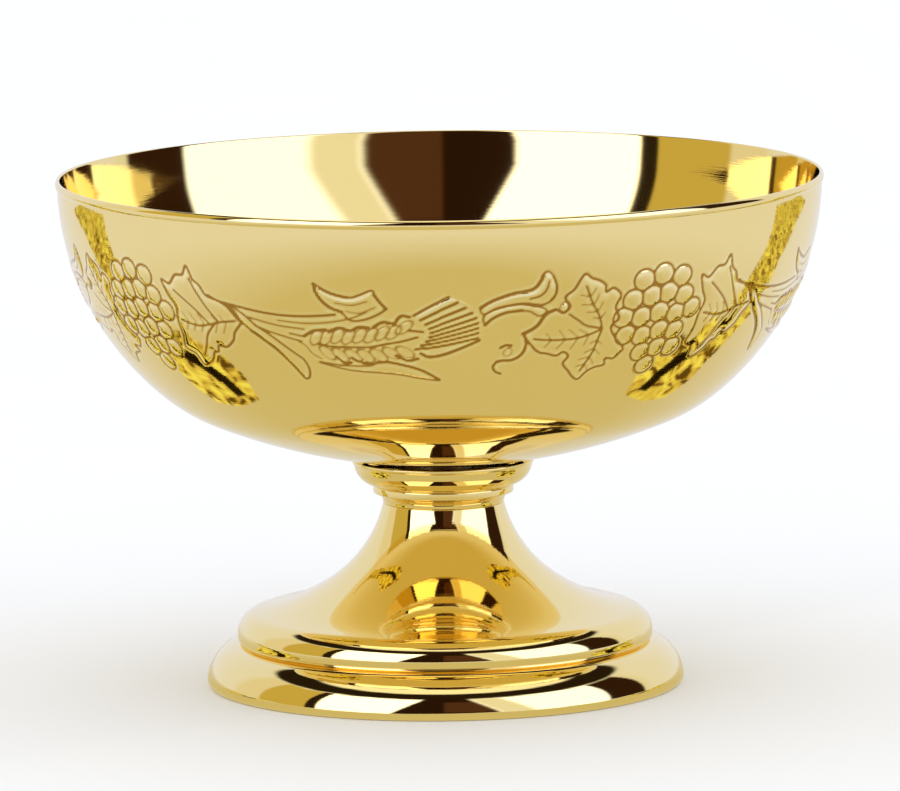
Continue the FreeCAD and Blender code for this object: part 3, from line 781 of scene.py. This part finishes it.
def make_base_ring(material):
    low = bottom_of("foot_base_ring")
    return turned("base_tier", [
        (43.0, low), (46.5, low, 1.27), (47.5, low + 1.25, 8.0), (41.6, low + 8.6), (40.6, low + 8.85),
        (40.6, low + 9.3), (39.6, low + 9.3), (39.6, low + 7.63), (41.34, low + 7.63, -7.0),
        (46.5, low + 1.2, -0.27), (46.29, low + 0.98), (43.0, low + 0.98),
    ], material, softness=0.12, segments=300)


def make_stud(material):
    """The tie stud with a real helical thread, and a chamfer at each end."""
    low, high, radius = bottom_of("tie_stud"), top_of("tie_stud"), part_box("tie_stud")[1].x / MM
    pitch, depth, chamfer, crest_share, steps, rows_per_turn = 1.0, 0.55, 0.6, 1.25, 36, 10
    heights = np.arange(low, high + 0.01, pitch / rows_per_turn)
    heights[-1] = high
    turns = np.arange(steps) / steps
    mesh, rings = RingMesh(), []
    for height in heights:
        phase = ((height - low) / pitch - turns) % 1.0
        crest = np.clip(crest_share * (1 - np.abs(2 * phase - 1)), 0, 1)
        smooth = crest * crest * (3 - 2 * crest)
        limit = radius - chamfer + min(height - low, high - height)
        reach = np.minimum(radius - depth * (1 - smooth), limit)
        rings.append([mesh.add((r * math.cos(a), r * math.sin(a), height), None)
                      for r, a in zip(reach, turns * 2 * math.pi)])
    mesh.join_all(rings)
    for ring, height in ((rings[0][::-1], low), (rings[-1], high)):
        middle = mesh.add((0, 0, height), None)
        mesh.faces += [(middle, ring[k - 1], ring[k]) for k in range(steps)]
    piece = mesh_object("threaded_stud", mesh.points, mesh.faces, material)
    piece.data.shade_smooth()
    piece.data.set_sharp_from_angle(angle=math.radians(40))
    return piece


# -------- materials

GOLD = (0.97, 0.78, 0.34, 1)
CLOUDED_GOLD = (*(0.965 * channel for channel in GOLD[:3]), 1)
LINE_PAINTED_SHADE = (0.44, 0.235, 0.05, 1)         # painted shade in the chased lines
CREST_PAINTED_HIGHLIGHT = (1.0, 0.96, 0.64, 1)          # painted highlight on the edges beside them


class Nodes:
    """Adds shader nodes to a tree. A setting is an input's value, another node's output, or a property."""

    def __init__(self, tree):
        self.tree = tree

    def feed(self, socket, value):
        if isinstance(value, bpy.types.NodeSocket):
            self.tree.links.new(value, socket)
        else:
            socket.default_value = value

    def add(self, kind, **settings):
        node = self.tree.nodes.new("ShaderNode" + kind)
        for name, value in settings.items():
            socket = name.replace("_", " ")
            if socket in node.inputs:
                self.feed(node.inputs[socket], value)
            else:
                setattr(node, name, value)
        return node

    def mix(self, share, first, second):
        return self.add("Mix", data_type="RGBA", Factor=share, A=first, B=second).outputs["Result"]

    def step(self, value, low, high):
        """0 at low and 1 at high, smooth between; low may be the larger of the two."""
        return self.add("MapRange", interpolation_type="SMOOTHSTEP", Value=value,
                        From_Min=low, From_Max=high).outputs["Result"]


class Finish(Nodes):
    """A procedural material; the constants go on the shader's own inputs."""

    def __init__(self, name, **constants):
        self.material = bpy.data.materials.new(name)
        self.material.use_nodes = True
        super().__init__(self.material.node_tree)
        self.shader = self.tree.nodes["Principled BSDF"].inputs
        for socket, value in constants.items():
            self.shader[socket.replace("_", " ")].default_value = value
        self.place = self.add("TexCoord").outputs["Object"]

    def set(self, socket, value):
        self.feed(self.shader[socket], value)

    def noise(self, scale, detail, place=None, distortion=0.0):
        return self.add("TexNoise", Vector=place or self.place, Scale=scale, Detail=detail,
                        Distortion=distortion).outputs["Fac"]

    def ramp(self, factor, *stops):
        """Colour from a factor; the stops are (position, colour), in rising order."""
        node = self.add("ValToRGB", Fac=factor)
        elements = node.color_ramp.elements
        for index, (position, colour) in enumerate(stops):
            stop = elements[index] if index < 2 else elements.new(position)
            stop.position, stop.color = position, colour
        return node.outputs["Color"]

    def bump(self, height, strength, distance):
        self.set("Normal", self.add("Bump", Height=height, Strength=strength, Distance=distance).outputs["Normal"])


def clouded_metal(name, scale, detail, dark, light, roughness):
    """A metal with faint clouds in its gloss, and the cloudy colour for it."""
    finish = Finish(name, Metallic=1.0)
    clouds = finish.noise(scale, detail)
    gloss = finish.add("MapRange", Value=clouds, To_Min=roughness[0], To_Max=roughness[1])
    finish.set("Roughness", gloss.outputs["Result"])
    return finish, finish.ramp(clouds, (0, dark), (1, light))


def polished_gold(name, roughness, chased=False):
    """Mirror gilding with fine polishing hairlines round the axis; when chased, painted shade in the lines and a
    painted highlight on the crests beside them.
    """
    finish, colour = clouded_metal(name, 38.0, 3.0, CLOUDED_GOLD, GOLD, roughness)
    if chased:
        # the mesh attribute is 1 in the lines, where shade is painted, and -1 on the crests beside them, where a
        # highlight is painted
        worked = finish.add("Attribute", attribute_name="painted_shade_and_highlight").outputs["Fac"]
        # painted highlight on the crests
        colour = finish.mix(finish.step(worked, -0.15, -0.9), colour, CREST_PAINTED_HIGHLIGHT)
        # painted shade in the lines
        colour = finish.mix(finish.step(worked, 0.12, 0.85), colour, LINE_PAINTED_SHADE)
    finish.set("Base Color", colour)
    # noise that changes quickly with height and slowly round the piece
    stretched = finish.add("Mapping", Vector=finish.place, Scale=(60.0, 60.0, 4200.0)).outputs["Vector"]
    finish.bump(finish.noise(1.0, 2.0, stretched), strength=0.02, distance=0.0002)
    return finish.material


def machined_metal(name, dark, light, roughness):
    """Plain turned metal: satin, slightly clouded, with fine machining marks."""
    finish, colour = clouded_metal(name, 260.0, 5.0, dark, light, roughness)
    finish.set("Base Color", colour)
    finish.bump(finish.noise(2600.0, 2.0), strength=0.25, distance=0.0001)
    return finish.material


def glowing(name, base=(0, 0, 0, 1), strength=1.0):
    """A finish for the stage that has no shine, only its own emission."""
    return Finish(name, Base_Color=base, Specular_IOR_Level=0.0, Emission_Strength=strength)


# -------- stage

FLOOR_HALF = 9000.0
FLOOR_CORNERS = [(-FLOOR_HALF, -FLOOR_HALF), (FLOOR_HALF, -FLOOR_HALF), (FLOOR_HALF, FLOOR_HALF),
                 (-FLOOR_HALF, FLOOR_HALF)]


def lay_card(name, corners, lift, material, reflected_only=True):
    """A flat stage piece at a height above the floor's level."""
    card = mesh_object(name, [(x, y, FLOOR + lift) for x, y in corners], [tuple(range(len(corners)))], material)
    if reflected_only:
        card.visible_camera = card.visible_diffuse = card.visible_shadow = False


def make_floor():
    """Plain pale floor, very slightly uneven in tone."""
    finish = Finish("pale_floor", Roughness=0.75)
    finish.set("Base Color", finish.ramp(finish.noise(9.0, 4.0), (0, (0.81, 0.817, 0.825, 1)),
                                         (1, (0.83, 0.837, 0.845, 1))))
    lay_card("floor", FLOOR_CORNERS, 0, finish.material, reflected_only=False)


def make_painted_caustics():
    """Two strips of painted golden caustic light with dark lines, and painted shadow patches near the foot, one on
    each side, laid on the floor and seen only as warm reflections.
    """
    # glowing cards that paint the bowl's caustic light on the floor
    caustic_glow = glowing("painted_caustic_light", (0.02, 0.01, 0.0, 1))
    caustic_lines = caustic_glow.noise(42.0, 2.0, distortion=2.5)
    caustic_glow.set("Emission Color", caustic_glow.ramp(caustic_lines, (0.41, (0.10, 0.055, 0.008, 1)), (0.455, (0.60, 0.43, 0.085, 1)),
                                         (0.62, (0.95, 0.92, 0.20, 1))))
    # dark cards that paint the bowl's shadow on the floor beside its foot
    dark = glowing("painted_caustic_shadow", (0.012, 0.006, 0.001, 1), strength=0.0)
    strip = [(70, -18), (86, -31), (102, -33), (125, -24), (146, -5), (183, 25), (238, 60), (303, 110),
             (400, 175), (600, 300), (600, 560), (430, 490), (360, 300), (260, 155), (206, 104), (168, 73),
             (135, 42), (112, 29), (95, 27), (81, 21), (73, 4)]
    shadow_patch = [(76, -14), (92, -17), (110, -12), (132, 6), (160, 28), (200, 60), (196, 66), (152, 33), (124, 12),
            (104, -3), (90, -8), (78, -6)]
    for side, sign in (("left", -1), ("right", 1)):
        # the strips of painted caustic light and the painted shadow patches, on each side
        lay_card(f"foil_{side}", [(sign * x, y) for x, y in strip], 0.3, caustic_glow.material)
        lay_card(f"fold_{side}", [(sign * x, y) for x, y in shadow_patch], 0.6, dark.material)


def make_reflected_floor():
    """The floor as the polished metal sees it, painted on a glowing card: near white all round, with painted shade
    that makes it warmer and darker towards the camera.
    """
    finish = glowing("reflected_floor")
    patch = finish.add("Mapping", vector_type="TEXTURE", Vector=finish.place, Location=(0, -0.12, 0),
                       Scale=(0.42, 0.46, 1))
    front_shade = finish.add("TexGradient", gradient_type="QUADRATIC_SPHERE", Vector=patch.outputs["Vector"])
    # painted shade: warmer and darker in front of the foot, towards the camera
    finish.set("Emission Color", finish.ramp(front_shade.outputs["Color"], (0, (0.82, 0.83, 0.90, 1)),
                                             (0.5, (0.65, 0.59, 0.37, 1))))
    lay_card("reflected_floor", FLOOR_CORNERS, 0.1, finish.material)


PANEL_LEFT = (2.2, 2.2, 2.7)
PANEL_RIGHT = (1.6, 1.75, 2.4)
LEAN = 0.36


class Sky(Nodes):
    """The light tent as a sky: panels given by their azimuth from the camera's side and their elevation."""

    def __init__(self):
        world = bpy.data.worlds.new("light_tent")
        bpy.context.scene.world = world
        world.use_nodes = True
        super().__init__(world.node_tree)
        where = self.add("TexCoord").outputs["Generated"]
        split = self.add("SeparateXYZ", Vector=where).outputs
        front = self.maths("MULTIPLY", split["Y"], -1.0)
        self.bearing = self.maths("MULTIPLY", self.maths("ARCTAN2", split["X"], front), 180 / math.pi)
        self.elevation = self.maths("MULTIPLY", self.maths("ARCSINE", split["Z"]), 180 / math.pi)
        self.colour = (1, 1, 1, 1)

    def maths(self, operation, *values):
        node = self.add("Math", operation=operation)
        for socket, value in zip(node.inputs, values):
            self.feed(socket, value)
        return node.outputs[0]

    def patch(self, bearings, elevations, colour, edge=1.5, lean=0.0):
        """Lays a coloured patch between two bearings, measured clockwise from the camera, and two elevations.

        A lean moves both sides of the patch towards the camera by that many degrees for each degree up.
        """
        bearing = self.bearing
        if lean:
            shift = self.maths("MULTIPLY", self.elevation, math.copysign(lean, sum(bearings)))
            bearing = self.maths("ADD", bearing, shift)
        mask = 1.0
        for value, (low, high) in ((bearing, bearings), (self.elevation, elevations)):
            mask = self.maths("MULTIPLY", self.step(value, low - edge, low + edge), mask)
            mask = self.maths("MULTIPLY", self.step(value, high + edge, high - edge), mask)
        self.colour = self.mix(mask, self.colour, (*colour, 1))

    def finish(self, seen_directly, lighting_floor):
        """The backdrop seen past the floor and the light on the floor are plain; the metal sees the panels."""
        rays = self.add("LightPath").outputs
        self.colour = self.mix(rays["Is Diffuse Ray"], self.colour, (*lighting_floor, 1))
        self.colour = self.mix(rays["Is Camera Ray"], self.colour, (*seen_directly, 1))
        self.feed(self.tree.nodes["Background"].inputs["Color"], self.colour)


def make_sky():
    """White tent with a bright panel on each side of the dark opening that the camera looks through."""
    sky = Sky()
    all_round, low = (-200, 200), -40
    sky.patch(all_round, (-95, 95), (0.81, 0.81, 0.81))
    sky.patch(all_round, (57, 95), (1.15, 1.1, 0.95), edge=3)
    sky.patch(all_round, (41, 56), (0.02, 0.012, 0.006))
    sky.patch((118, 220), (low, 40), (0.83, 0.86, 1.0), edge=3)
    sky.patch((-220, -124), (low, 40), (0.83, 0.86, 1.0), edge=3)
    sky.patch((40, 90), (low, 40), PANEL_RIGHT)
    sky.patch((-90, -40), (low, 40), PANEL_LEFT)
    sky.patch((86, 112), (low, 40), (0.03, 0.012, 0.005))
    sky.patch((-120, -66), (low, 40), (0.80, 0.76, 0.68))
    sky.patch((-102, -66), (low, 40), (0.60, 0.47, 0.13))
    sky.patch((-72, -66), (low, 40), (0.02, 0.012, 0.006), edge=0.7)
    # the dark opening, with a lighter, brown half on its right
    sky.patch((-27, 27), (low, 44), (0.022, 0.009, 0.004), edge=1)
    sky.patch((-1, 27), (4, 32), (0.08, 0.034, 0.018), edge=1)
    sky.patch((27, 62), (low, 40), PANEL_RIGHT, lean=LEAN)
    sky.patch((27, 44), (low, 40), (0.9, 0.9, 0.9), lean=LEAN, edge=3)
    sky.patch((-62, -27), (low, 40), PANEL_LEFT, lean=LEAN)
    sky.finish((1.0, 1.0, 1.0), (1.22, 1.23, 1.25))


def make_camera():
    """The photograph's view: from the front, a little above the rim, through a long lens."""
    distance, side, height = 2.0, 0.00155, 0.3408
    pitch, roll = math.radians(8.06), math.radians(0.73)
    data = bpy.data.cameras.new("camera")
    data.sensor_width, data.lens = 36.0, 406.2
    data.clip_end = 100.0
    camera = bpy.data.objects.new("camera", data)
    camera.matrix_world = (Matrix.Translation(Vector((side, -distance, height)))
                           @ Matrix.Rotation(math.radians(90) - pitch, 4, "X") @ Matrix.Rotation(-roll, 4, "Z"))
    bpy.context.scene.collection.objects.link(camera)
    bpy.context.scene.camera = camera


# -------- put together

make_camera()
make_floor()
make_painted_caustics()
make_reflected_floor()
make_sky()
bpy.context.scene.view_settings.view_transform = "Standard"

gilt_bowl = polished_gold("gilt_bowl", (0.03, 0.07), chased=True)
gilt_turned = polished_gold("gilt_turned", (0.025, 0.06))
zinc = machined_metal("zinc_steel", (0.42, 0.43, 0.46, 1), (0.70, 0.70, 0.68, 1), (0.24, 0.42))
plain_brass = machined_metal("plain_brass", (0.66, 0.46, 0.18, 1), (0.86, 0.64, 0.29, 1), (0.2, 0.36))

for maker, material, node, slot in (
    (make_bowl, gilt_bowl, "bowl", "gilt_bowl"),
    (make_rim_wire, gilt_turned, "rim_wire", "gilt_rim"),
    (make_upper_collar, gilt_turned, "upper_collar", "gilt_collar"),
    (make_lower_collar, gilt_turned, "lower_collar", "gilt_collar"),
    (make_foot, gilt_turned, "foot_cone", "gilt_foot"),
    (make_base_ring, gilt_turned, "foot_base_ring", "gilt_foot"),
    (make_stud, zinc, "tie_stud", "zinc_steel"),
):
    piece = maker(material)
    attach(piece, "root")
    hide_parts(node)

for node, material in (("clamp_washer", zinc), ("spring_washer", zinc), ("hex_nut", zinc),
                       ("bowl_boss", plain_brass)):
    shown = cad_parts[node]
    shown.data.materials.clear()
    shown.data.materials.append(material)
